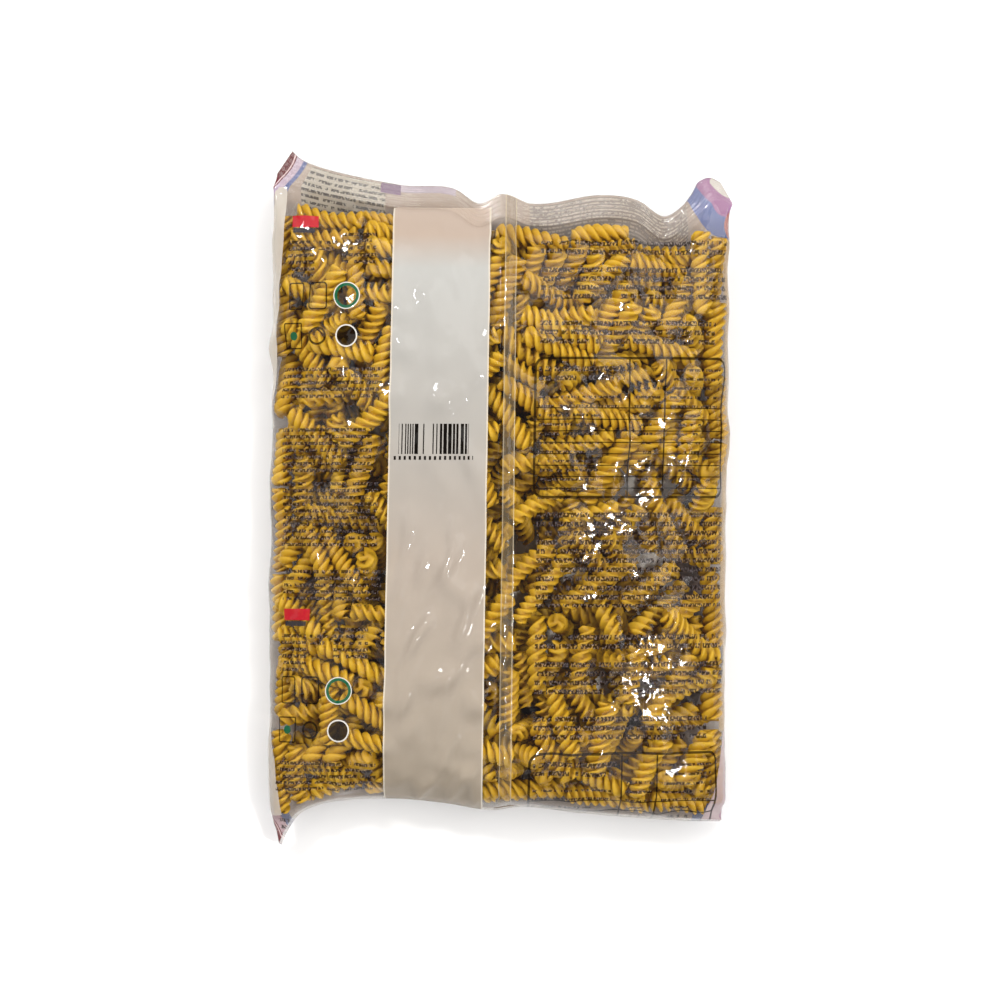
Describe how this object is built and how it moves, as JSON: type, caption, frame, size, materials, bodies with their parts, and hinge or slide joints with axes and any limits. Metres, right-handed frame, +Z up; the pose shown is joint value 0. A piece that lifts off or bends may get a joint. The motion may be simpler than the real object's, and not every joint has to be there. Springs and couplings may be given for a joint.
{
  "type": "pasta packet",
  "caption": "Clear sealed pillow bag of dried pasta spirals with a back seam, crimped end seals and a pale printed strip, lying on its front with its back up.",
  "frame": {"origin": "under the middle of the bag, on the surface that its front lies on", "axes": "+X across the bag towards the right of its back, +Y along the bag towards its top seal, +Z up out of its back"},
  "size_m": [0.1956, 0.293, 0.0481],
  "materials": {
    "film_over_pasta": "clear glossy film tight over golden dried pasta",
    "clear_film": "clear polypropylene film, glossy, with printed fields",
    "dried_pasta": "dried durum wheat pasta, satin, amber at thick places"
  },
  "bodies": {
    "root": {"pasta_bag": "film_over_pasta"}
  },
  "joints": []
}
